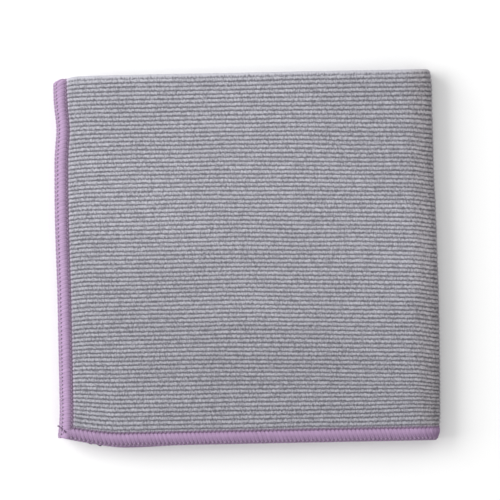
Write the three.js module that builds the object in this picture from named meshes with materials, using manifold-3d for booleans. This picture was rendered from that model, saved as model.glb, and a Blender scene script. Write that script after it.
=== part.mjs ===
// A quick-dry towel: one square of ribbed microfibre cloth with an overlocked border,
// folded in quarters and lying flat, so that it is four plies high.
//
// Frame: +X points to the outer fold, +Y to the inner folds, +Z up. The origin is under the
// middle of the towel, on the surface it lies on. The hemmed edges are at -X and -Y.
//
// Each half of the stack is two plies joined by an inner fold at +Y. The halves are joined by
// the outer fold at +X, which is a hinge: the upper half turns up and over to lie beside the
// lower half. Both halves are built in the same local frame, whose X-Y plane is the half's
// fold plane, z = 0 the height of the outer fold's centre and +Z the way out of the stack.
// The lower half is that shape turned over.
import * as THREE from "three";
import { mergeVertices } from "three/addons/utils/BufferGeometryUtils.js";
import Module from "manifold-3d";

const wasm = await Module();
wasm.setup();

// Driving dimensions, in millimetres.
const FOLDED_WIDTH = 178; // from the hemmed side edge to the outer fold
const FOLDED_LENGTH = 173; // from the hemmed front edge to the inner folds
const PLY = 2.2; // thickness of the ribbed cloth
const AIR = 0.3; // space between neighbouring pieces
const INNER_CREASE = 0.3; // radius inside the tightest crease
const HEM_WIDTH = 6; // overlocked border, from the edge to its inner side
const HEM_SLOT = 1.3; // height of the space that the thread wrap leaves for the cloth
const TONGUE = 0.9; // thickness of the cloth where the thread presses it flat
const WRAP_DEPTH = 0.6; // how deep the thread wrap is past the cloth's cut edge
const CHAIN_WIDTH = 0.8; // the two looper threads, locked together along the edge
const CHAIN_HEIGHT = 1.2;
const NEEDLE_THREAD = 0.5; // width and height of the needle thread's line of stitches
const TAIL_REACH = 1.2; // how far the thread tail stands out of the side edge
const TAIL_WIDTH = 0.9;
const TAIL_FROM_CORNER = 7;
const CREASE_STEPS = 8; // facets in a quarter turn of the outer fold
const BEND_STEPS = 12; // facets in a half turn of an inner fold

// Plan: the tail stands out at -X, so the cloth is set over by half of it.
const SIDE_EDGE = (TAIL_REACH - FOLDED_WIDTH) / 2;
const OUTER_FOLD = SIDE_EDGE + FOLDED_WIDTH;
const FRONT_EDGE = -FOLDED_LENGTH / 2;

// Heights above the half's fold plane. The facing ply lies on the plane, the outer one above it.
const FACING_PLY = INNER_CREASE + PLY / 2;
const OUTER_PLY = FACING_PLY + PLY + AIR;
const HALF_HEIGHT = OUTER_PLY + PLY / 2;

// Where the plies leave the flat and start to turn into their folds.
const CREASE_START = OUTER_FOLD - HALF_HEIGHT;
const BEND_HEIGHT = (OUTER_PLY + FACING_PLY) / 2;
const BEND_RADIUS = (OUTER_PLY - FACING_PLY) / 2;
const BEND_START = FOLDED_LENGTH / 2 - BEND_RADIUS - PLY / 2;

// Distances in from a hemmed edge, across the border.
const WRAP_FROM = CHAIN_WIDTH + AIR;
const TONGUE_FROM = WRAP_FROM + WRAP_DEPTH + AIR;
const NEEDLE_FROM = HEM_WIDTH + AIR;
const PILE_FROM = NEEDLE_FROM + NEEDLE_THREAD + AIR;

// The two fold planes stand AIR apart about the middle of the stack.
const STACK_MIDDLE = HALF_HEIGHT + AIR / 2;
const UPPER_FOLD_PLANE = STACK_MIDDLE + AIR / 2;
const LOWER_FOLD_PLANE = STACK_MIDDLE - AIR / 2;

function fabric(color, roughness) {
  return new THREE.MeshStandardMaterial({ color, roughness, metalness: 0 });
}

const materials = {
  cloth: fabric(0x9a99a2, 0.95),
  hem: fabric(0xb797bf, 0.85),
  thread: fabric(0x8d6f96, 0.8),
};

// Turns a closed geometry into a solid, with its shared vertices merged.
function solidOf(geometry) {
  const bare = geometry.clone();
  bare.deleteAttribute("normal");
  bare.deleteAttribute("uv");
  const merged = mergeVertices(bare, 1e-4);
  const mesh = new wasm.Mesh({
    numProp: 3,
    vertProperties: merged.attributes.position.array,
    triVerts: new Uint32Array(merged.index.array),
  });
  return new wasm.Manifold(mesh);
}

function geometryOf(solid) {
  const mesh = solid.getMesh();
  const geometry = new THREE.BufferGeometry();
  geometry.setAttribute("position", new THREE.BufferAttribute(mesh.vertProperties, 3));
  geometry.setIndex(new THREE.BufferAttribute(mesh.triVerts, 1));
  geometry.computeVertexNormals();
  return geometry;
}

// An arc of [y, z] points about a centre, from one angle to another, in radians.
function arc(centreY, centreZ, radius, from, to, steps) {
  return Array.from({ length: steps + 1 }, (_, i) => {
    const angle = from + ((to - from) * i) / steps;
    return [centreY + radius * Math.cos(angle), centreZ + radius * Math.sin(angle)];
  });
}

// The [y, z] section of a band that runs along both plies and round the inner fold, thickness
// thick, with its middle line offset outwards from the middle of the cloth.
function foldedBand(fromY, thickness, offset = 0) {
  const outside = BEND_RADIUS + offset + thickness / 2;
  const inside = BEND_RADIUS + offset - thickness / 2;
  const quarter = Math.PI / 2;
  return [
    [fromY, BEND_HEIGHT - outside],
    ...arc(BEND_START, BEND_HEIGHT, outside, -quarter, quarter, BEND_STEPS),
    [fromY, BEND_HEIGHT + outside],
    [fromY, BEND_HEIGHT + inside],
    ...arc(BEND_START, BEND_HEIGHT, inside, quarter, -quarter, BEND_STEPS),
    [fromY, BEND_HEIGHT - inside],
  ];
}

// The [y, z] section of a rectangle, between two distances in from the front edge.
function frontBar(from, to, height, thickness) {
  return [
    [FRONT_EDGE + from, height - thickness / 2],
    [FRONT_EDGE + to, height - thickness / 2],
    [FRONT_EDGE + to, height + thickness / 2],
    [FRONT_EDGE + from, height + thickness / 2],
  ];
}

// Sweeps a closed [y, z] section through stations. Each station gives the x and the turn of the
// section about the outer fold's centre line, which is parallel to Y at z = 0.
function swept(section, stations) {
  const outline = section.map(([y, z]) => new THREE.Vector2(y, z));
  if (THREE.ShapeUtils.isClockWise(outline)) outline.reverse();
  const size = outline.length;
  const positions = [];
  for (const { x, turn } of stations) {
    for (const point of outline) {
      positions.push(x + point.y * Math.sin(turn), point.x, point.y * Math.cos(turn));
    }
  }
  const faces = [];
  const last = (stations.length - 1) * size;
  for (const [a, b, c] of THREE.ShapeUtils.triangulateShape(outline, [])) {
    faces.push(a, c, b);
    faces.push(last + a, last + b, last + c);
  }
  for (let s = 0; s + 1 < stations.length; s += 1) {
    for (let i = 0; i < size; i += 1) {
      const here = s * size + i;
      const next = s * size + ((i + 1) % size);
      faces.push(here, next, next + size);
      faces.push(here, next + size, here + size);
    }
  }
  const geometry = new THREE.BufferGeometry();
  geometry.setAttribute("position", new THREE.Float32BufferAttribute(positions, 3));
  geometry.setIndex(faces);
  return geometry;
}

// Straight along X, between two distances in from the side edge.
function alongSide(section, from, to) {
  return swept(section, [
    { x: SIDE_EDGE + from, turn: 0 },
    { x: SIDE_EDGE + to, turn: 0 },
  ]);
}

// Along X to the outer fold, and down round it to the fold plane.
function roundOuterFold(section, from) {
  const turning = Array.from({ length: CREASE_STEPS + 1 }, (_, i) => ({
    x: CREASE_START,
    turn: (i / CREASE_STEPS) * (Math.PI / 2),
  }));
  return swept(section, [{ x: SIDE_EDGE + from, turn: 0 }, ...turning]);
}

// The [y, z] section of both plies: full thickness, and stepped down to a tongue at the front.
function clothSection() {
  const outer = foldedBand(FRONT_EDGE + PILE_FROM, PLY);
  const outside = outer.slice(0, outer.length / 2);
  const inside = outer.slice(outer.length / 2);
  const step = (ply) => [
    [FRONT_EDGE + PILE_FROM, ply + TONGUE / 2],
    [FRONT_EDGE + TONGUE_FROM, ply + TONGUE / 2],
    [FRONT_EDGE + TONGUE_FROM, ply - TONGUE / 2],
    [FRONT_EDGE + PILE_FROM, ply - TONGUE / 2],
  ];
  return [...outside, ...step(OUTER_PLY), ...inside, ...step(FACING_PLY)];
}

// Half of the cloth: two plies joined at the inner fold, pressed flat in the hems.
function cloth() {
  const body = solidOf(roundOuterFold(clothSection(), PILE_FROM));
  const band = foldedBand(FRONT_EDGE + TONGUE_FROM, TONGUE);
  const sideTongue = solidOf(alongSide(band, TONGUE_FROM, PILE_FROM + AIR));
  return geometryOf(body.add(sideTongue));
}

// The looper threads that wrap the side edge of both plies, open towards the cloth.
function sideHem() {
  const wrap = solidOf(alongSide(foldedBand(FRONT_EDGE, PLY), WRAP_FROM, HEM_WIDTH));
  const beyond = foldedBand(FRONT_EDGE - 1, HEM_SLOT);
  const slot = solidOf(alongSide(beyond, TONGUE_FROM - AIR, HEM_WIDTH + 1));
  return geometryOf(wrap.subtract(slot));
}

function sideChain() {
  return alongSide(foldedBand(FRONT_EDGE, CHAIN_HEIGHT), 0, CHAIN_WIDTH);
}

// The needle thread lies on the front of the cloth, along the inner side of the hem.
function sideNeedleThread() {
  const offset = (PLY - NEEDLE_THREAD) / 2;
  const line = foldedBand(FRONT_EDGE + PILE_FROM, NEEDLE_THREAD, offset);
  return alongSide(line, NEEDLE_FROM, NEEDLE_FROM + NEEDLE_THREAD);
}

// The front hem of one ply: a thread wrap with a slot for the cloth's edge.
function frontHem(ply) {
  const bottom = ply - PLY / 2;
  const top = ply + PLY / 2;
  const slotEnd = FRONT_EDGE + TONGUE_FROM - AIR;
  const section = [
    [FRONT_EDGE + WRAP_FROM, bottom],
    [FRONT_EDGE + HEM_WIDTH, bottom],
    [FRONT_EDGE + HEM_WIDTH, ply - HEM_SLOT / 2],
    [slotEnd, ply - HEM_SLOT / 2],
    [slotEnd, ply + HEM_SLOT / 2],
    [FRONT_EDGE + HEM_WIDTH, ply + HEM_SLOT / 2],
    [FRONT_EDGE + HEM_WIDTH, top],
    [FRONT_EDGE + WRAP_FROM, top],
  ];
  return roundOuterFold(section, NEEDLE_FROM);
}

function frontChain(ply) {
  return roundOuterFold(frontBar(0, CHAIN_WIDTH, ply, CHAIN_HEIGHT), NEEDLE_FROM);
}

// side is +1 where the front of the ply faces out of the stack, -1 where it faces the fold.
function frontNeedleThread(ply, side) {
  const height = ply + (side * (PLY - NEEDLE_THREAD)) / 2;
  const bar = frontBar(NEEDLE_FROM, NEEDLE_FROM + NEEDLE_THREAD, height, NEEDLE_THREAD);
  return roundOuterFold(bar, PILE_FROM);
}

// The end of the overlock chain, cut short beyond the side edge near the front corner.
function threadTail() {
  const tail = new THREE.BoxGeometry(TAIL_REACH - AIR, TAIL_WIDTH, TAIL_WIDTH);
  const y = FRONT_EDGE + TAIL_FROM_CORNER;
  return tail.translate(SIDE_EDGE - (TAIL_REACH + AIR) / 2, y, OUTER_PLY);
}

function piece(name, geometry, material) {
  const mesh = new THREE.Mesh(geometry, material);
  mesh.name = name;
  return mesh;
}

// One half of the stack. Its plies are named from the top of the towel down.
function half(name, outerPlyName, facingPlyName) {
  const group = new THREE.Group();
  const { hem, thread } = materials;
  group.add(
    piece(`cloth_${name}`, cloth(), materials.cloth),
    piece(`side_hem_${name}`, sideHem(), hem),
    piece(`side_edge_chain_${name}`, sideChain(), thread),
    piece(`side_needle_thread_${name}`, sideNeedleThread(), thread),
  );
  const plies = [
    { plyName: outerPlyName, ply: OUTER_PLY, side: 1 },
    { plyName: facingPlyName, ply: FACING_PLY, side: -1 },
  ];
  for (const { plyName, ply, side } of plies) {
    group.add(
      piece(`front_hem_${plyName}`, frontHem(ply), hem),
      piece(`front_edge_chain_${plyName}`, frontChain(ply), thread),
      piece(`front_needle_thread_${plyName}`, frontNeedleThread(ply, side), thread),
    );
  }
  return group;
}

const upperHalf = half("upper_half", "ply_1", "ply_2");
upperHalf.position.z = UPPER_FOLD_PLANE;
upperHalf.add(piece("thread_tail", threadTail(), materials.thread));

const lowerHalf = half("lower_half", "ply_4", "ply_3");
lowerHalf.position.z = LOWER_FOLD_PLANE;
lowerHalf.scale.z = -1;

const towel = new THREE.Group();
towel.add(upperHalf, lowerHalf);
export default towel;
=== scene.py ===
"""A quick-dry towel: ribbed microfibre with an overlocked border, folded in quarters.

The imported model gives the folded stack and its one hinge, the outer fold. This script makes the
cloth and the border's threads around it. The towel's own measures are in millimetres here, and
they are turned into metres when a mesh is made.
"""
import math

import bpy
import numpy as np
from mathutils import Matrix, Vector


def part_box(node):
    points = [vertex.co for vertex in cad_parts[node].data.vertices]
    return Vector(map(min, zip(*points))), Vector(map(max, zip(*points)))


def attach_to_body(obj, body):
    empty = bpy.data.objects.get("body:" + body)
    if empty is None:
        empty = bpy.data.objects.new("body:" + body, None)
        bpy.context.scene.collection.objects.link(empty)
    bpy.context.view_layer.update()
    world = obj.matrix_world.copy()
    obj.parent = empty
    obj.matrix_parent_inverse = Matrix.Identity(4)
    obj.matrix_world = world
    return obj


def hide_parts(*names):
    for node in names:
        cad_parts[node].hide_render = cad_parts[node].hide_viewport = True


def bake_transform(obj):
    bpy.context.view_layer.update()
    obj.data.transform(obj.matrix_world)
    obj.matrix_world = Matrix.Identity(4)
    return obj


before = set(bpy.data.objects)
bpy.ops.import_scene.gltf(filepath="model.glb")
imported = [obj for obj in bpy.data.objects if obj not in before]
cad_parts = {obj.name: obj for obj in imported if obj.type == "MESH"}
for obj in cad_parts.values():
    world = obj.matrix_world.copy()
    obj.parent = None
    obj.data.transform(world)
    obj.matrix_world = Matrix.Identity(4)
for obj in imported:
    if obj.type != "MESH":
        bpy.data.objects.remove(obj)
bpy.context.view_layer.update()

MM = 0.001


# ------------------------------------------------------------------ measures from the frame

def box_mm(node):
    """The lowest and highest corner of a CAD node, in millimetres."""
    low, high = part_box(node)
    return np.array(low) / MM, np.array(high) / MM


UPPER_LOW, UPPER_HIGH = box_mm("cloth_upper_half")
LOWER_HIGH = box_mm("cloth_lower_half")[1]
HEM_LOW, HEM_HIGH = box_mm("side_hem_upper_half")
FACING_HEM_LOW, FACING_HEM_HIGH = box_mm("front_hem_ply_2")
CHAIN_LOW = box_mm("side_edge_chain_upper_half")[0]
TAIL_LOW, TAIL_HIGH = box_mm("thread_tail")

SIDE_X = CHAIN_LOW[0]  # the hemmed side edge
FOLD_X = UPPER_HIGH[0]  # the outer fold
FRONT_Y = HEM_LOW[1]  # the hemmed front edge
BACK_Y = UPPER_HIGH[1]  # the inner folds
LENGTH = BACK_Y - FRONT_Y
MIDDLE_Z = (UPPER_LOW[2] + LOWER_HIGH[2]) / 2
HALF_GAP = (UPPER_LOW[2] - LOWER_HIGH[2]) / 2
HALF_HEIGHT = UPPER_HIGH[2] - UPPER_LOW[2]
FACING_HEIGHT = FACING_HEM_HIGH[2] - FACING_HEM_LOW[2]
HEM_WIDTH = HEM_HIGH[0] - SIDE_X

# Each half is two plies. Heights here are above the half's fold plane, out of the stack.
PLY = 2.2
BEND_RADIUS = (HALF_HEIGHT - FACING_HEIGHT) / 2  # of the middle of the cloth, at an inner fold
BEND_HEIGHT = FACING_HEIGHT - PLY / 2 + BEND_RADIUS
BEND_Y = BACK_Y - BEND_RADIUS - PLY / 2
CREASE_X = FOLD_X - HALF_HEIGHT  # where the plies start to turn into the outer fold
QUARTER = math.pi / 2
BEND_END = BEND_Y + BEND_RADIUS * QUARTER

# The cloth and its border.
RIB = 1.97  # from one rib to the next
RIB_DEPTH = 0.75
WALE = 1.7  # from one loop of the pile to the next, along a rib
BACK_ROWS = 44  # rows of points on a ply's plain back
STITCH = 1.92  # from one stitch of the border to the next
PILE_FROM = HEM_WIDTH + 0.1  # the ribs begin just inside the border
CLOTH_FROM = HEM_WIDTH - 2.5  # the cloth goes on inside the border
PRESSED = 0.68  # the border's height where plies press on it, as a share of hem_lift's
LOOSE = 1.2  # the same for the border on top of the stack, which nothing presses
KNOTS_FROM_SIDE = (13.3, 17.6)  # of the two loose knots under the front edge
RIBS_HANG_FROM = -12  # the x from which the ribs hang more and more, up to the outer fold

# The cloth's brightness is TONE_LEVEL where its painted shade and tone is 0, and TONE_STRENGTH
# more where it is 1.
TONE_LEVEL = 0.985
TONE_STRENGTH = 0.075

# How the threads lie along the two edges. Their colours are painted light: from 0, painted shade,
# to 1, their own lit colour.
SIDE_STYLE = {
    "lean": 1.1,  # of the looper's turns along the edge, in stitches
    "round_from": 1.3,  # the looper turns down round the edge from here, in mm
    "radius": 0.4,  # of the looper thread at the edge, in mm
    "swell": 0.14,  # more of it half way in
    "crease_shade": 0.0,  # how much darker the looper thread is at the fold
    # painted shade on the border's outer half, where it turns away from the light
    "band": 0.0,  # how much darker the border's outer half is
    # painted shade at the core's two sides, between the threads
    "core_painted_light": 0.7,  # of the core at the border's two sides
    "needle_shift": 0.8,  # of the needle's stitches from the looper's, in stitches
    # painted shade along the border's inner edge
    "needle_painted_light": 0.5,
    "chain_reach": 1.25,  # of the locked loops in from the edge, in mm
    "chain_knot": 0.22,  # how much thicker they are on the two faces
    # painted shade between the locked loops at the edge
    "chain_painted_light": 0.85,
}
FRONT_STYLE = {
    "lean": -1.3,
    "round_from": 1.1,
    "radius": 0.34,
    "swell": 0.2,
    "crease_shade": 0.4,
    "band": 0.38,
    "core_painted_light": 0.4,
    "needle_shift": 0.4,
    "needle_painted_light": 0.35,
    "chain_reach": 1.15,
    "chain_knot": 0.28,
    "chain_painted_light": 0.5,
}

# The seed of each noise, so that every run of this script makes the same towel.
SEEDS = {
    "rib_sway": 1,
    "rib_ripple": 2,
    "loop_shift": 3,
    "loop_height": 4,
    "pile_lumps": 5,
    "shade_and_tone": 6,
    "looper_wander": 11,
    "looper_reach": 12,
    "looper_fluff": 13,
    "needle_fluff": 21,
    "chain_fluff": 31,
}


# ------------------------------------------------------------------ shape of the folded cloth

def fall(distance, reach, power=2.0):
    """1 at no distance, 0 from reach on, with a soft end."""
    return np.clip(1 - distance / reach, 0, 1) ** power


def hump(distance, middle, reach):
    """1 at the middle, fading to both sides."""
    return np.exp(-((distance - middle) / reach) ** 2)


def settle(x, y, up):
    """The hand-folded outline: its edges wave a little and its corners are rounded."""
    from_side = np.maximum(x - SIDE_X, 0)
    from_front = np.maximum(y - FRONT_Y, 0)
    from_back = np.maximum(BACK_Y - y, 0)
    from_fold = np.maximum(FOLD_X - x, 0)
    down = from_back / LENGTH  # 0 at the inner folds, 1 at the front edge

    # Along Y: both corners at the side are drawn in, and the cloth reaches a little further
    # towards the front.
    front_corner = 5.0 * fall(from_side, 30, 1.6) * fall(from_front, 60, 1.5)
    back_corner = 2.2 * fall(from_side, 10, 1.2) + 0.8 * fall(from_side, 20, 1.5)
    back_corner = back_corner * fall(from_back, 30)
    reach = 0.75 * down + 0.6 * fall(from_front, 12, 1.0)

    # Along X: the side edge waves, and the outer fold is fuller in its middle than at its ends.
    dent = 1.1 * hump(from_back, 25, 9) - 0.5 * hump(from_back, 66, 26)
    wave = (dent - 1.2 * fall(from_front, 16)) * fall(from_side, 60)
    full = 0.7 * down + 0.9 * np.sin(math.pi * np.clip((down - 0.25) / 0.75, 0, 1))
    full = full * fall(from_fold, 120)
    corners = fall(from_fold, 14) * fall(from_back, 9)
    corners = corners + 1.6 * fall(from_fold, 14) * fall(from_front, 12)

    # The lower half's border peeks out from under the front edge.
    peek = 1.1 * (up < 0) * hump(from_side, 34, 20) * fall(from_front, 30)
    return x + wave + full - corners, y + front_corner - back_corner - reach - peek


def place(outer, up, s, t, lift):
    """Points of a ply in the shared frame, in millimetres.

    outer is true for the two outer plies and false for the two that face each other, and up is
    1 in the upper half and -1 in the lower. s runs along X and round the outer fold, t runs along
    Y and round the inner fold, and lift is the height above the middle of the cloth, towards
    its front.
    """
    side = np.where(outer, 1.0, -1.0)
    theta = np.clip((t - BEND_Y) / BEND_RADIUS, 0, QUARTER)
    reach = BEND_RADIUS + lift
    y = np.minimum(t, BEND_Y) + reach * np.sin(theta)
    height = BEND_HEIGHT + side * reach * np.cos(theta)
    middle = BEND_HEIGHT + side * BEND_RADIUS
    phi = np.clip((s - CREASE_X) / middle, 0, QUARTER)
    x = np.minimum(s, CREASE_X) + height * np.sin(phi)
    beyond = np.maximum(s - CREASE_X - middle * QUARTER, 0)
    z = MIDDLE_Z + up * (HALF_GAP + height * np.cos(phi) - beyond)
    x, y = settle(x, y, up)
    return np.stack(np.broadcast_arrays(x, y, z), axis=-1)


def crease_end(outer):
    """The s of the middle of the outer fold, where the upper and the lower half meet."""
    middle = BEND_HEIGHT + (BEND_RADIUS if outer else -BEND_RADIUS)
    return CREASE_X + middle * QUARTER + HALF_GAP


# ------------------------------------------------------------------ noise

def lattice_noise(u, v, cell_u, cell_v, seed):
    """Smooth noise from -1 to 1 at points in millimetres, with cells of the given size."""
    span = 512
    values = np.random.default_rng(seed).uniform(-1, 1, (span, span))
    a = np.asarray(u) / cell_u + span / 2
    b = np.asarray(v) / cell_v + span / 2
    i = np.floor(a).astype(int)
    j = np.floor(b).astype(int)
    fa = a - i
    fb = b - j
    fa = fa * fa * (3 - 2 * fa)
    fb = fb * fb * (3 - 2 * fb)
    near = values[i % span, j % span] * (1 - fa) + values[(i + 1) % span, j % span] * fa
    far = values[i % span, (j + 1) % span] * (1 - fa)
    far = far + values[(i + 1) % span, (j + 1) % span] * fa
    return near * (1 - fb) + far * fb


def smooth(x, low, high):
    """0 below low, 1 above high, smooth between."""
    share = np.clip((x - low) / (high - low), 0, 1)
    return share * share * (3 - 2 * share)


# ------------------------------------------------------------------ meshes

def mesh_object(name, points, faces, flat_from=None, values=None, vectors=None):
    """A mesh object from points in millimetres. Faces from flat_from on are shaded flat."""
    mesh = bpy.data.meshes.new(name)
    mesh.from_pydata((np.asarray(points) * MM).tolist(), [], faces)
    flat = np.zeros(len(mesh.polygons), dtype=bool)
    if flat_from is not None:
        flat[flat_from:] = True
    mesh.polygons.foreach_set("use_smooth", ~flat)
    for key, data in (values or {}).items():
        attribute = mesh.attributes.new(key, "FLOAT", "POINT")
        attribute.data.foreach_set("value", np.asarray(data, np.float32).ravel())
    for key, data in (vectors or {}).items():
        attribute = mesh.attributes.new(key, "FLOAT_VECTOR", "POINT")
        attribute.data.foreach_set("vector", np.asarray(data, np.float32).ravel())
    mesh.update()
    obj = bpy.data.objects.new(name, mesh)
    bpy.context.scene.collection.objects.link(obj)
    return obj


def grid_faces(rows, columns, start=0, turned=False):
    """The quads of a grid whose points are numbered row by row from start."""
    index = np.arange(rows * columns).reshape(rows, columns) + start
    corners = [index[:-1, :-1], index[:-1, 1:], index[1:, 1:], index[1:, :-1]]
    if turned:
        corners.reverse()
    return np.stack(corners, axis=-1).reshape(-1, 4).tolist()


def zipped(first, first_at, second, second_at):
    """Triangles between two rows of points, whose places along the row are given."""
    faces = []
    i = 0
    j = 0
    while i < len(first) - 1 or j < len(second) - 1:
        more_first = i < len(first) - 1
        more_second = j < len(second) - 1
        if more_first and (not more_second or first_at[i + 1] <= second_at[j + 1]):
            faces.append((first[i], second[j], first[i + 1]))
            i += 1
        else:
            faces.append((first[i], second[j], second[j + 1]))
            j += 1
    return faces


def grid_sides(rows, columns, start, row_at, column_at):
    """The four sides of a grid, in order round it, each with its places along the side."""
    index = np.arange(rows * columns).reshape(rows, columns) + start
    return [
        (index[0], column_at),
        (index[:, -1], row_at),
        (index[-1, ::-1], -column_at[::-1]),
        (index[::-1, 0], -row_at[::-1]),
    ]


def slab(front, front_rows, front_columns, back, back_rows, back_columns):
    """A closed sheet from a fine front grid and a coarse back grid.

    The rows and columns are the places of the grids' points along their sides. Returns the points,
    the faces, and the number of the first face of the rim.
    """
    rows, columns = front.shape[:2]
    start = rows * columns
    faces = grid_faces(rows, columns)
    faces += grid_faces(*back.shape[:2], start=start, turned=True)
    rim_from = len(faces)
    front_sides = grid_sides(rows, columns, 0, front_rows, front_columns)
    back_sides = grid_sides(*back.shape[:2], start, back_rows, back_columns)
    for (first, first_at), (second, second_at) in zip(front_sides, back_sides):
        faces += zipped(first.tolist(), first_at, second.tolist(), second_at)
    points = np.concatenate([front.reshape(-1, 3), back.reshape(-1, 3)])
    return points, faces, rim_from


def tube(centres, radii, sides, squash=1.0):
    """The points and faces of a closed tube along centres. squash is its height to its width."""
    steps = np.gradient(centres, axis=0)
    along = steps / np.linalg.norm(steps, axis=1, keepdims=True)
    up = np.array([0.0, 0.0, 1.0])
    across = np.cross(along, up)
    upright = np.linalg.norm(across, axis=1) < 1e-3
    across[upright] = np.array([1.0, 0.0, 0.0])
    across /= np.linalg.norm(across, axis=1, keepdims=True)
    lifted = np.cross(across, along)
    angles = np.arange(sides) * 2 * math.pi / sides
    ring = np.cos(angles)[None, :, None] * across[:, None] * radii[:, None, None]
    ring = ring + np.sin(angles)[None, :, None] * lifted[:, None] * radii[:, None, None] * squash
    points = (centres[:, None] + ring).reshape(-1, 3)
    count = len(centres)
    index = np.arange(count * sides).reshape(count, sides)
    following = np.roll(index, -1, axis=1)
    quads = np.stack([index[:-1], following[:-1], following[1:], index[1:]], axis=-1)
    faces = quads.reshape(-1, 4).tolist()
    faces.append(index[0, ::-1].tolist())
    faces.append(index[-1].tolist())
    return points, faces


# ------------------------------------------------------------------ materials

class Nodes:
    """A material's node tree, with short calls to make and link its nodes."""

    def __init__(self, name):
        self.material = bpy.data.materials.new(name)
        self.material.use_nodes = True
        self.tree = self.material.node_tree
        self.shader = self.tree.nodes["Principled BSDF"]

    def add(self, kind, inputs=None, **settings):
        """A new node, with its settings and its inputs."""
        node = self.tree.nodes.new(kind)
        for key, value in settings.items():
            setattr(node, key, value)
        for key, value in (inputs or {}).items():
            self.put(node, key, value)
        return node

    def put(self, node, key, value):
        """Sets an input to a value, or links it to another node's output."""
        socket = node.inputs[key]
        if isinstance(value, bpy.types.NodeSocket):
            self.tree.links.new(value, socket)
        else:
            socket.default_value = value

    def attribute(self, name, output):
        """A value or a vector that the mesh gives at each point."""
        node = self.add("ShaderNodeAttribute", attribute_name=name)
        return node.outputs[output]

    def noise(self, vector, size, detail=2.0, roughness=0.5):
        """Noise whose features are about size millimetres, as a value round 0.5."""
        inputs = {"Vector": vector, "Scale": 1 / (size * MM), "Detail": detail}
        inputs["Roughness"] = roughness
        return self.add("ShaderNodeTexNoise", inputs).outputs["Fac"]

    def cells(self, vector, size):
        """Distance from the middle of round cells about size millimetres wide."""
        inputs = {"Vector": vector, "Scale": 1 / (size * MM), "Randomness": 0.85}
        return self.add("ShaderNodeTexVoronoi", inputs).outputs["Distance"]

    def stretched(self, vector, along, across):
        """A vector on which textures come out so many times longer along and across."""
        scale = {"Vector": vector, "Scale": (1 / along, 1 / across, 1.0)}
        return self.add("ShaderNodeMapping", scale).outputs["Vector"]

    def math(self, operation, first, second=0.0, third=0.0):
        """The result of a Math node."""
        inputs = {0: first, 1: second, 2: third}
        return self.add("ShaderNodeMath", inputs, operation=operation).outputs[0]

    def remap(self, value, from_low, from_high, to_low, to_high):
        """A value moved from one range to another, and held inside it."""
        inputs = {"Value": value, "From Min": from_low, "From Max": from_high}
        inputs["To Min"] = to_low
        inputs["To Max"] = to_high
        return self.add("ShaderNodeMapRange", inputs).outputs["Result"]

    def mix(self, share, first, second, blend="MIX"):
        """Two colours mixed: the first at a share of 0, the second at 1."""
        node = self.add("ShaderNodeMix", data_type="RGBA", blend_type=blend)
        self.put(node, 0, share)
        self.put(node, 6, first)
        self.put(node, 7, second)
        return node.outputs[2]

    def scaled(self, color, brightness):
        """A colour made lighter or darker."""
        node = self.add("ShaderNodeVectorMath", {0: color}, operation="SCALE")
        self.put(node, "Scale", brightness)
        return node.outputs[0]

    def bump(self, height, distance, strength=1.0):
        """A normal for a relief of about distance millimetres."""
        inputs = {"Height": height, "Distance": distance * MM, "Strength": strength}
        return self.add("ShaderNodeBump", inputs).outputs["Normal"]

    def finish(self, color, normal, roughness, sheen, sheen_tint):
        """The material, with the shader's inputs set."""
        self.put(self.shader, "Base Color", color)
        self.put(self.shader, "Normal", normal)
        self.put(self.shader, "Roughness", roughness)
        self.shader.inputs["Specular IOR Level"].default_value = 0.15
        self.shader.inputs["Sheen Weight"].default_value = sheen
        self.shader.inputs["Sheen Roughness"].default_value = 0.5
        self.shader.inputs["Sheen Tint"].default_value = sheen_tint
        return self.material


def pile_height(nodes, cloth, fibres):
    """How far the pile stands up, about 0 in a groove and 1 on a rib, with beads and fibres."""
    # Besides the bump, the pile sets the colour: low pile, in the grooves and between the beads,
    # is painted shade.
    rib = nodes.attribute("rib", "Fac")
    stretch = nodes.attribute("stretch", "Fac")
    loops = nodes.noise(nodes.stretched(cloth, 1.0, 2.2), 0.7, 1.0)
    beads = nodes.cells(nodes.stretched(cloth, 0.8, 1.5), 1.0)
    wavering = nodes.math("ADD", rib, nodes.remap(loops, 0.3, 0.7, -0.12, 0.12))
    away = nodes.math("ABSOLUTE", nodes.math("SUBTRACT", nodes.math("FRACT", wavering), 0.5))
    pile = nodes.remap(away, 0.5, 0.16, 0.0, 1.0)
    pile = nodes.math("MULTIPLY_ADD", stretch, 0.5, pile)
    pile = nodes.math("ADD", pile, nodes.remap(beads, 0.1, 0.6, 0.15, -0.19))
    return nodes.math("ADD", pile, nodes.remap(fibres, 0.3, 0.7, -0.40, 0.40))


def cloth_brightness(nodes, cloth):
    """The uneven brightness of the cloth: wide patches, and the painted broad shade and tone given
    at each point.
    """
    patches = nodes.noise(cloth, 45.0, 2.0)
    bright = nodes.remap(patches, 0.3, 0.7, 0.96, 1.04)
    shade_and_tone = nodes.math("MULTIPLY_ADD", nodes.attribute("shade_and_tone", "Fac"), TONE_STRENGTH, TONE_LEVEL)
    return nodes.math("MULTIPLY", bright, shade_and_tone)


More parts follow.
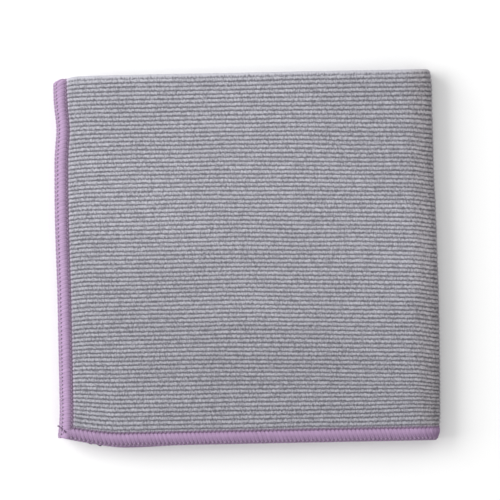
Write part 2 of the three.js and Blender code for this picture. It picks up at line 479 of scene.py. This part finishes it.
def cloth_material():
    """Ribbed microfibre: pale looped ribs, painted shade in the grooves, pink rib ends with a
    painted highlight.
    """
    # groove is the cloth in painted shade, crest the lit cloth.
    groove = (0.149, 0.147, 0.170, 1.0)
    crest = (0.503, 0.499, 0.551, 1.0)
    # pink rib ends by the border, made lighter by a painted highlight where they face the light.
    pink_highlight_color = (0.54, 0.45, 0.58, 1.0)
    # darker and browner towards the outer fold: painted shade where the cloth turns away from the
    # light.
    fold_shade_color = (0.86, 0.83, 0.80, 1.0)  # multiplies the colour at the outer fold
    nodes = Nodes("ribbed_microfibre")
    cloth = nodes.attribute("cloth", "Vector")
    fibres = nodes.noise(nodes.stretched(cloth, 1.0, 3.0), 0.5, 1.0)
    pile = pile_height(nodes, cloth, fibres)
    color = nodes.mix(nodes.remap(pile, 0.0, 1.2, 0.0, 1.0), groove, crest)
    pink_highlight = nodes.math("MULTIPLY", nodes.attribute("pink_highlight", "Fac"), 0.7)
    color = nodes.mix(pink_highlight, color, pink_highlight_color)
    color = nodes.mix(nodes.attribute("fold_shade", "Fac"), color, fold_shade_color, "MULTIPLY")
    color = nodes.scaled(color, cloth_brightness(nodes, cloth))
    height = nodes.math("MULTIPLY_ADD", pile, 0.6, nodes.math("MULTIPLY", fibres, 0.4))
    normal = nodes.bump(height, 0.3, 0.7)
    roughness = nodes.remap(fibres, 0.3, 0.7, 0.88, 1.0)
    return nodes.finish(color, normal, roughness, 0.12, (0.85, 0.85, 0.95, 1.0))


def thread_material(name, light, dark, sheen):
    """Spun thread: fine twisted strands, a soft change of colour along it, and painted shade
    towards its dark colour.
    """
    nodes = Nodes(name)
    thread = nodes.attribute("thread", "Vector")
    painted_light = nodes.attribute("painted_light", "Fac")
    strands = nodes.noise(nodes.stretched(thread, 3.0, 0.5), 0.35, 2.0, 0.6)
    fluff = nodes.noise(thread, 0.4, 3.0, 0.7)
    patches = nodes.noise(thread, 14.0, 2.0)
    # The dark colour is the thread in painted shade, the light colour its own lit colour.
    mixed = nodes.math("ADD", painted_light, nodes.remap(fluff, 0.3, 0.7, -0.15, 0.15))
    color = nodes.mix(nodes.remap(mixed, 0.0, 1.0, 0.0, 1.0), dark, light)
    color = nodes.scaled(color, nodes.remap(patches, 0.3, 0.7, 0.9, 1.1))
    height = nodes.math("MULTIPLY_ADD", strands, 0.6, nodes.math("MULTIPLY", fluff, 0.4))
    normal = nodes.bump(height, 0.2, 0.7)
    roughness = nodes.remap(strands, 0.3, 0.7, 0.7, 0.9)
    return nodes.finish(color, normal, roughness, sheen, (0.95, 0.85, 1.0, 1.0))


# ------------------------------------------------------------------ cloth

def columns_of(outer, fine):
    """The s of each column of points: even along the flat, closer round the outer fold."""
    start = SIDE_X + CLOTH_FROM
    middle = BEND_HEIGHT + (BEND_RADIUS if outer else -BEND_RADIUS)
    flat_step = 0.66 if fine else 4.0
    flat = np.linspace(start, CREASE_X, round((CREASE_X - start) / flat_step) + 1)
    turn = np.linspace(0, QUARTER, 15 if fine else 7)[1:]
    return np.concatenate([flat, CREASE_X + middle * turn, [crease_end(outer)]])


def rows_of():
    """The phase of each row of points across the ribs, and its t before the ribs waver."""
    shape = np.array([0.0, 0.22, 0.5, 0.78])  # places across one rib, groove first
    start = FRONT_Y + CLOTH_FROM
    count = math.ceil((BEND_END - start) / RIB)
    phase = (np.arange(count)[:, None] + shape).ravel()
    phase = np.append(phase, count)
    t = BEND_END - phase * RIB
    keep = t > start
    return phase[keep][::-1], t[keep][::-1]


def soft_shade(s, t):
    """A ply's broad light and dark, painted on.

    It is darker towards the front and at the fold's back corner, and lighter at the hemmed corner.
    The strengths are in units of TONE_STRENGTH.
    """
    from_front = t - FRONT_Y
    back = smooth(from_front, 22.5, 116.5)
    back_corner = hump(FOLD_X - s, 5.6, 38) * hump(BACK_Y - t, 2.5, 34)
    front_corner = hump(s - SIDE_X, 4.4, 24) * hump(from_front, 26.5, 44)
    return -0.95 + 1.65 * back - 1.3 * back_corner + 0.9 * front_corner


def cloth_coordinates(outer, up, s, t):
    """Where a point is on the whole unfolded cloth, so that its texture runs through the folds."""
    middle = BEND_HEIGHT + (BEND_RADIUS if outer else -BEND_RADIUS)
    turned = np.maximum(s - CREASE_X, 0) / middle * (BEND_HEIGHT + BEND_RADIUS)
    u = np.minimum(s, CREASE_X) + turned
    u_end = CREASE_X + (BEND_HEIGHT + BEND_RADIUS) * QUARTER
    u = np.where(up > 0, u, 2 * u_end - u)
    v = np.where(outer, t, 2 * BEND_END - t)
    return u, v


def rib_bend(s, t):
    """How far the ribs hang towards the front, more towards the outer fold, free of both ends."""
    hang = 2.35 * np.clip((s - RIBS_HANG_FROM) / 94, 0, 1.1) ** 1.2 - 0.3
    curl = 0.8 * fall(np.maximum(s - SIDE_X - HEM_WIDTH, 0), 11)
    curl = curl + 1.1 * smooth(s, CREASE_X - 7, CREASE_X + 5)
    return -(hang + curl) * smooth(BEND_END - t, 1, 36) * smooth(t - FRONT_Y, 4, 34)


def in_pile(s, t):
    """1 where the ribbed pile is, 0 under the border."""
    inside = smooth(s - SIDE_X, PILE_FROM - 0.3, PILE_FROM + 0.8)
    return inside * smooth(t - FRONT_Y, PILE_FROM - 0.3, PILE_FROM + 0.8)


def rib_waver(u, v, wale):
    """How far the ribs stray along Y: a slow sway, a ripple, and a shift of each loop."""
    sway = 0.22 * lattice_noise(u, v, 26, 9, SEEDS["rib_sway"])
    ripple = 0.05 * lattice_noise(u, v, 3.1, RIB, SEEDS["rib_ripple"])
    shift = 0.26 * lattice_noise(u, v, 2.2, 0.9, SEEDS["loop_shift"]) * np.cos(wale)
    return sway + ripple + shift


def pile_lift(u, v, wale, crest, stretch, inside):
    """The height of a ply's front above its middle, with ribs, loops and soft lumps."""
    loops = 0.5 + 0.5 * lattice_noise(u, v, 2.4, 1.1, SEEDS["loop_height"]) * np.sin(wale)
    lumps = 0.5 + 0.5 * lattice_noise(u, v, 18, 12, SEEDS["pile_lumps"])
    dip = RIB_DEPTH * (1 - crest) * (1 - 0.6 * stretch) + 0.3 * loops * crest + 0.12 * lumps
    return PLY / 2 - dip * inside - 0.9 * (1 - inside)


def with_back(front, back_value, back_count):
    """A value for every point of a ply: the front's own, and one for the whole back."""
    return np.concatenate([front.ravel(), np.full(back_count, back_value)])


def ply_values(s, t, u, v, phase, stretch, back_count):
    """The values that the cloth's material reads at each point of a ply."""
    near_side = 1 - smooth(s - SIDE_X, PILE_FROM + 0.4, PILE_FROM + 1.6)
    near_front = 0.5 * (1 - smooth(t - FRONT_Y, PILE_FROM, PILE_FROM + 1.2))
    # pink rib ends by the border, with a painted highlight where they face the light.
    pink_highlight = np.maximum(near_side, near_front)
    # painted shade towards the outer fold, where the cloth turns away from the light.
    fold_shade = smooth(s, CREASE_X - 11, CREASE_X)
    # painted broad light and shade, with noise for a random tone.
    shade_and_tone = soft_shade(s, t) + 0.5 * lattice_noise(u, v, 80, 0.8 * RIB, SEEDS["shade_and_tone"])
    return {
        "rib": with_back(phase[:, None] * np.ones_like(s), 0.5, back_count),
        "pink_highlight": with_back(pink_highlight, 0.0, back_count),
        "stretch": with_back(stretch, 0.0, back_count),
        "fold_shade": with_back(fold_shade, 0.0, back_count),
        "shade_and_tone": with_back(shade_and_tone, 0.0, back_count),
    }


def ply(name, outer, up):
    """One ply of the cloth, with ribs on its front and a plain back."""
    phase, row_t = rows_of()
    s_row = columns_of(outer, True)
    s, t = np.meshgrid(s_row, row_t)
    u, v = cloth_coordinates(outer, up, s, t)
    wale = 2 * math.pi * u / WALE
    inside = in_pile(s, t)
    free = inside * smooth(BEND_END - t, 0.2, 4.0)
    t = t + free * rib_waver(u, v, wale) + rib_bend(s, t)
    crest = (1 - np.abs(2 * (phase % 1) - 1) ** 2)[:, None] * np.ones_like(s)
    stretch = 1 - smooth(BEND_END - t, 0.8, 3.4)
    lift = pile_lift(u, v, wale, crest, stretch, inside)
    front = place(outer, up, s, t, lift)

    s_back_row = columns_of(outer, False)
    t_back_row = np.linspace(row_t[0], row_t[-1], BACK_ROWS)
    s_back, t_back = np.meshgrid(s_back_row, t_back_row)
    u_back, v_back = cloth_coordinates(outer, up, s_back, t_back)
    back = place(outer, up, s_back, t_back, -PLY / 2)

    points, faces, rim_from = slab(front, row_t, s_row, back, t_back_row, s_back_row)
    if (up > 0) != outer:
        faces = [face[::-1] for face in faces]
    values = ply_values(s, t, u, v, phase, stretch, s_back.size)
    us = np.concatenate([u.ravel(), u_back.ravel()])
    vs = np.concatenate([v.ravel(), v_back.ravel()])
    cloth = np.stack([us, vs, with_back(lift, 0.0, s_back.size)], axis=-1) * MM
    return mesh_object(name, points, faces, rim_from, values, {"cloth": cloth})


# ------------------------------------------------------------------ overlocked border

class Run:
    """A length of border that goes along one ply, round a fold and back along the next.

    A point of it is given by its distance along the run, its distance in from the edge, and its
    lift towards the front of the cloth.
    """

    def __init__(self, name, side, first, second):
        self.name = name
        self.side = side  # true along the side edge, false along the front edge
        self.style = SIDE_STYLE if side else FRONT_STYLE
        self.first = first  # (outer, up) of the ply where the run starts
        self.second = second
        if side:
            self.start = FRONT_Y
            self.lengths = (BEND_END - FRONT_Y, BEND_END - FRONT_Y)
        else:
            self.start = SIDE_X + 2.4
            self.lengths = tuple(crease_end(outer) - self.start for outer, _ in (first, second))
        self.length = sum(self.lengths)

    def place(self, along, inward, lift):
        """Points of the border in the shared frame, in millimetres."""
        along, inward, lift = np.broadcast_arrays(along, inward, lift)
        going = along <= self.lengths[0]
        path = np.where(going, along, self.length - along) + self.start
        found = []
        for outer, up in (self.first, self.second):
            free = smooth(self.lengths[0] - along, 1, 12) * (lift > 0) * outer * (up > 0)
            raised = lift * (PRESSED + (LOOSE - PRESSED) * free)
            if self.side:
                found.append(place(outer, up, SIDE_X + inward, path, raised))
            else:
                found.append(place(outer, up, path, FRONT_Y + inward, raised))
        return np.where(going[..., None], found[0], found[1])


def hem_lift(inward):
    """The height of the border's surface above the middle of the cloth: a soft, full roll."""
    share = np.clip(inward / HEM_WIDTH, 0, 1)
    return 0.1 + 1.15 * (1 - np.abs(2 * share ** 1.5 - 1) ** 2.0)


def hem_band(run, inward):
    """How much painted shade darkens the threads along the border's outer half, which turns away
    from the light.
    """
    return run.style["band"] * hump(inward, 2.6, 1.7)


def hem_core(run):
    """The cloth's edge inside the border, rounded and covered by the threads."""
    count = round(run.length / 0.65)
    along = np.linspace(0.2, run.length - 0.2, count)
    across = 9  # points on each of its two faces
    inner = HEM_WIDTH - 0.4
    outer = 0.3
    inward = np.concatenate([np.linspace(outer, inner, across), np.linspace(inner, outer, across)])
    sign = np.concatenate([np.ones(across), -np.ones(across)])
    filled = hump(inward, 0.6 * HEM_WIDTH, 0.36 * HEM_WIDTH)
    lift = sign * (hem_lift(inward) - 0.14 + 0.22 * filled)
    a, i = np.meshgrid(along, inward, indexing="ij")
    points = run.place(a, i, np.broadcast_to(lift, a.shape)).reshape(-1, 3)
    sides = len(inward)
    index = np.arange(count * sides).reshape(count, sides)
    following = np.roll(index, -1, axis=1)
    quads = np.stack([index[:-1], index[1:], following[1:], following[:-1]], axis=-1)
    faces = quads.reshape(-1, 4).tolist()
    faces.append(index[0].tolist())
    faces.append(index[-1, ::-1].tolist())
    thread = np.stack([a, i, np.zeros_like(a)], axis=-1).reshape(-1, 3) * MM
    # painted shade on the core where the threads leave it hollow, lighter where it is filled.
    hollow = run.style["core_painted_light"]
    shade = hollow + (0.95 - hollow) * filled - hem_band(run, inward)
    values = {"painted_light": np.broadcast_to(shade, a.shape).ravel()}
    return mesh_object(f"{run.name}_core", points, faces, None, values, {"thread": thread})


def strand(name, run, along, inward, lift, radius, seed, sides=7, painted_light=1.0):
    """One long thread of the border, through points given along the run."""
    along = np.clip(along, 0.1, run.length - 0.1)
    centres = run.place(along, inward, lift)
    fluff = 1 + 0.12 * lattice_noise(along, inward, 0.7, 0.9, seed)
    points, faces = tube(centres, radius * fluff, sides, 0.6)
    length = np.concatenate([[0], np.cumsum(np.linalg.norm(np.diff(centres, axis=0), axis=1))])
    around = np.arange(sides) * 2 * math.pi * np.mean(radius) / sides
    a = np.repeat(length, sides)
    b = np.tile(around, len(length))
    thread = np.stack([a, b, np.zeros_like(a)], axis=-1) * MM
    values = {"painted_light": np.repeat(np.broadcast_to(painted_light, len(centres)), sides)}
    return mesh_object(name, points, faces, None, values, {"thread": thread})


def looper(run, front):
    """A looper thread: it goes in to the needle line and back out to the edge at every stitch."""
    style = run.style
    stitches = int(run.length / STITCH)
    share = np.linspace(0, 1, 25)[:-1]
    edge = 0.35
    inner = HEM_WIDTH - 0.1 if front else HEM_WIDTH - 0.7
    turns = [0, 0.42, 0.52, 0.94, 1.0]
    out = np.interp(share, turns, [0, 1, 1, 0, 0])
    forward = np.interp(share, turns, [0.0, 0.06, 0.36, 0.42, 1.0]) + style["lean"] * out
    stitch = np.arange(stitches)[:, None]
    strayed = lattice_noise(stitch * 1.0 + share, share * 3.0, 0.7, 0.8, SEEDS["looper_wander"])
    along = ((stitch + forward) * STITCH + 0.07 * strayed).ravel()
    uneven = 0.22 * lattice_noise(stitch * 1.0, 0.0, 1.0, 1.0, SEEDS["looper_reach"])
    reach = inner + 0.25 + uneven
    inward = (edge + out * (reach - edge)).ravel()
    round_edge = np.clip((style["round_from"] - inward) / 0.8, 0, 1)
    lift = hem_lift(inward) * (1 - 0.75 * round_edge) - 0.12
    lift = lift if front else -lift
    ends = hump(inward, inner, 0.7)
    # painted shade: darker where the thread dives in at the needle line and where it turns round
    # the edge.
    painted_light = 1 - 0.3 * ends - 0.15 * round_edge - hem_band(run, inward)
    to_crease = np.abs(along - run.lengths[0])
    painted_light = painted_light - style["crease_shade"] * fall(to_crease, 16, 1.0)
    radius = style["radius"] + style["swell"] * np.sin(math.pi * np.clip(inward / inner, 0, 1))
    name = f"{run.name}_{'upper' if front else 'lower'}_looper_thread"
    return strand(name, run, along, inward, lift, radius, SEEDS["looper_fluff"], painted_light=painted_light)


def needle_line(run):
    """The needle thread: a stitch on the front, then down between the looper's turns."""
    style = run.style
    stitches = int(run.length / STITCH)
    share = np.linspace(0, 1, 9)[:-1]
    stitch = np.arange(stitches)[:, None]
    along = ((stitch + share + style["needle_shift"] - 0.5) * STITCH).ravel()
    height = np.tile(np.sin(math.pi * share) ** 0.6, stitches)
    inward = HEM_WIDTH + 0.1 + 0.35 * np.tile(np.cos(2 * math.pi * share), stitches)
    lift = 0.15 + 0.65 * height
    radius = 0.16 + 0.2 * height
    name = f"{run.name}_needle_thread"
    seed = SEEDS["needle_fluff"]
    return strand(name, run, along, inward, lift, radius, seed, 6, style["needle_painted_light"])


def edge_chain(run):
    """The two loopers locked round the edge: a small knot on each face at every stitch."""
    style = run.style
    stitches = int(run.length / STITCH)
    share = np.linspace(0, 1, 17)[:-1]
    along = ((np.arange(stitches)[:, None] + share) * STITCH).ravel()
    swing = np.cos(2 * math.pi * share)  # 1 on the front of the cloth, -1 on its back
    face = np.abs(swing) ** 0.4
    inward = np.tile(0.05 + style["chain_reach"] * face, stitches)
    lift = np.tile(0.98 * np.sign(swing) * face, stitches)
    radius = np.tile(0.16 + style["chain_knot"] * hump(face, 1.0, 0.3), stitches)
    name = f"{run.name}_edge_chain"
    seed = SEEDS["chain_fluff"]
    return strand(name, run, along, inward, lift, radius, seed, 6, style["chain_painted_light"])


def short_thread(name, centres, radii, length, sides, painted_light):
    """A short loose thread. length is where its centres are along it, for its texture."""
    points, faces = tube(centres, radii, sides)
    along = np.repeat(length, sides)
    around = np.tile(np.arange(sides) * 0.2, len(centres))
    thread = np.stack([along, around, np.zeros_like(along)], axis=-1) * MM
    values = {"painted_light": np.full(len(along), painted_light)}
    return mesh_object(name, points, faces, None, values, {"thread": thread})


def thread_tail():
    """The cut end of the overlock chain, near the front corner.

    It starts on top of the side hem and comes down past the side edge, where the CAD tail lies.
    """
    middle = (TAIL_LOW + TAIL_HIGH) / 2
    count = 14
    x = np.linspace(TAIL_HIGH[0] + 3.2, TAIL_LOW[0] + 0.1, count)
    share = np.linspace(0, 1, count)
    _, y_at = settle(x, np.full(count, middle[1]), 1)
    y = y_at - 1.3 - 2.4 * (1 - share) ** 1.5
    on_top = UPPER_HIGH[2] - PLY / 2 + LOOSE * hem_lift(np.maximum(x - SIDE_X, 0)) + 0.2
    z = on_top + (middle[2] - on_top) * smooth(share, 0.55, 1.0)
    radii = 0.5 - 0.16 * share
    # The tail is drawn almost wholly in the thread's painted shade.
    return short_thread("chain_tail", np.stack([x, y, z], axis=-1), radii, x, 8, 0.1)


def loose_knot(name, from_side):
    """A small knot of the lower half's border, standing a little out of its front edge."""
    count = 40
    turn = np.linspace(0, 5 * math.pi, count)
    x = SIDE_X + from_side + 0.55 * np.cos(turn) + 0.15 * turn / math.pi
    z = 1.3 + 0.5 * np.sin(turn)
    _, y_at = settle(x, np.full(count, FRONT_Y), -1)
    y = y_at - 0.15 + 0.25 * np.cos(turn * 0.5)
    centres = np.stack([x, y, z], axis=-1)
    # The knots are drawn almost wholly in the thread's painted shade.
    return short_thread(name, centres, np.full(count, 0.38), turn * 0.5, 7, 0.05)


# ------------------------------------------------------------------ stage

VIEW_WIDTH = 0.234  # of the view at the towel's top, in metres
CAMERA_HEIGHT = 1.2  # above the towel's top, in metres
CAMERA_TURN = -1.15  # about the vertical, in degrees
OFF_CENTRE = (-0.0016, -0.0030, 0.0)  # of the towel in the view, in metres
FLOOR_REACH = 1500  # from the middle to each side of the floor, in mm
FLOOR_Z = -0.1  # just under the towel, in mm


def look_down():
    """A camera straight above the towel, with the towel a little turned in its view."""
    camera = bpy.data.cameras.new("camera")
    camera.sensor_width = 36
    camera.lens = camera.sensor_width * CAMERA_HEIGHT / VIEW_WIDTH
    camera.clip_start = 0.01
    camera.clip_end = 10
    obj = bpy.data.objects.new("camera", camera)
    bpy.context.scene.collection.objects.link(obj)
    turn = math.radians(CAMERA_TURN)
    centre = Vector(((SIDE_X + FOLD_X) / 2 * MM, (FRONT_Y + BACK_Y) / 2 * MM, UPPER_HIGH[2] * MM))
    offset = Matrix.Rotation(turn, 3, "Z") @ Vector(OFF_CENTRE)
    obj.location = centre - offset + Vector((0, 0, CAMERA_HEIGHT))
    obj.rotation_euler = (0, 0, turn)
    bpy.context.scene.camera = obj


def area_light(name, direction, distance, size, power):
    """A flat light that shines on the towel from a direction."""
    light = bpy.data.lights.new(name, "AREA")
    light.shape = "RECTANGLE"
    light.size, light.size_y = size
    light.energy = power
    obj = bpy.data.objects.new(name, light)
    bpy.context.scene.collection.objects.link(obj)
    away = Vector(direction).normalized()
    obj.location = away * distance
    obj.rotation_mode = "QUATERNION"
    obj.rotation_quaternion = away.to_track_quat("Z", "Y")


def studio():
    """A white room, and one broad light low over the hemmed side."""
    scene = bpy.context.scene
    scene.view_settings.view_transform = "Standard"
    world = bpy.data.worlds.new("studio")
    world.use_nodes = True
    background = world.node_tree.nodes["Background"]
    background.inputs["Color"].default_value = (1.0, 1.0, 1.0, 1.0)
    background.inputs["Strength"].default_value = 0.74
    scene.world = world
    area_light("key", (-0.88, 0.26, 0.52), 1.6, (1.6, 1.0), 27.0)


def floor():
    """A sheet of pale paper under the towel."""
    signs = [(-1, -1), (1, -1), (1, 1), (-1, 1)]
    points = np.array([(x * FLOOR_REACH, y * FLOOR_REACH, FLOOR_Z) for x, y in signs])
    obj = mesh_object("floor", points, [(0, 1, 2, 3)])
    nodes = Nodes("floor_paper")
    grain = nodes.noise(nodes.add("ShaderNodeTexCoord").outputs["Object"], 60.0, 2.0)
    color = nodes.mix(grain, (0.93, 0.93, 0.93, 1.0), (0.95, 0.95, 0.95, 1.0))
    nodes.put(nodes.shader, "Base Color", color)
    nodes.shader.inputs["Roughness"].default_value = 0.9
    obj.data.materials.append(nodes.material)


# ------------------------------------------------------------------ the towel

def outer_blend(obj):
    """For the outer plies, whose turn is spread over the height between them: bakes the object's
    transform into its mesh.
    """
    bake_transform(obj)


def facing_blend(obj):
    """For the facing plies, whose turn is in the crease between the two plies: bakes the object's
    transform into its mesh.
    """
    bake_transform(obj)


def dress(obj, material):
    """Gives a piece its material."""
    obj.data.materials.append(material)


def make_cloth(material):
    """The four plies, from the top down."""
    plies = [("cloth_ply_1", True, 1), ("cloth_ply_2", False, 1)]
    plies += [("cloth_ply_3", False, -1), ("cloth_ply_4", True, -1)]
    made = []
    for name, outer, up in plies:
        obj = ply(name, outer, up)
        dress(obj, material)
        (outer_blend if outer else facing_blend)(obj)
        made.append(obj)
    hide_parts("cloth_upper_half")
    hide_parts("cloth_lower_half")
    return made


def border_runs():
    """The four runs of border, each with the ends of the names of the CAD nodes it stands for."""
    return [
        (Run("side_hem_upper", True, (True, 1), (False, 1)), ["_upper_half"]),
        (Run("side_hem_lower", True, (True, -1), (False, -1)), ["_lower_half"]),
        (Run("front_hem_outer", False, (True, 1), (True, -1)), ["_ply_1", "_ply_4"]),
        (Run("front_hem_facing", False, (False, 1), (False, -1)), ["_ply_2", "_ply_3"]),
    ]


def attach(obj, run):
    """A side run's piece is attached to its half; a front run crosses the hinge, and its piece is
    only baked.
    """
    outer, up = run.first
    if run.side:
        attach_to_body(obj, "upper_half" if up > 0 else "lower_half")
    elif outer:
        outer_blend(obj)
    else:
        facing_blend(obj)


def make_border(hem, thread):
    """The threads of every run, in place of their CAD nodes: a list of pieces by run name."""
    made = {}
    for run, ends in border_runs():
        where = "side" if run.side else "front"
        wraps = [hem_core(run), looper(run, True), looper(run, False)]
        for obj in wraps:
            dress(obj, hem)
        lines = [needle_line(run), edge_chain(run)]
        for obj in lines:
            dress(obj, thread)
        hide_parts(*[f"{where}_hem{end}" for end in ends])
        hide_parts(*[f"{where}_needle_thread{end}" for end in ends])
        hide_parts(*[f"{where}_edge_chain{end}" for end in ends])
        for obj in wraps + lines:
            attach(obj, run)
        made[run.name] = wraps + lines
    return made


def make_tail(thread):
    """The chain tail, which moves with the upper half."""
    tail = thread_tail()
    dress(tail, thread)
    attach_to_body(tail, "upper_half")
    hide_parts("thread_tail")
    return tail


def make_knots(thread):
    """The two loose knots under the front edge, which move with the lower half."""
    knots = []
    for number, from_side in enumerate(KNOTS_FROM_SIDE, 1):
        knots.append(loose_knot(f"front_knot_{number}", from_side))
    for knot in knots:
        dress(knot, thread)
        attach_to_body(knot, "lower_half")
    return knots


def main():
    """The stage, the materials, and then the towel."""
    look_down()
    studio()
    floor()
    cloth = cloth_material()
    lilac = (0.425, 0.294, 0.458, 1.0)
    pale_lilac = (0.46, 0.355, 0.485, 1.0)
    # The dark colours are the threads in painted shade.
    hem = thread_material("hem_thread", lilac, (0.16, 0.095, 0.18, 1.0), 0.2)
    thread = thread_material("edge_thread", pale_lilac, (0.09, 0.05, 0.10, 1.0), 0.15)
    plies = make_cloth(cloth)
    border = make_border(hem, thread)
    tail = make_tail(thread)
    knots = make_knots(thread)


main()
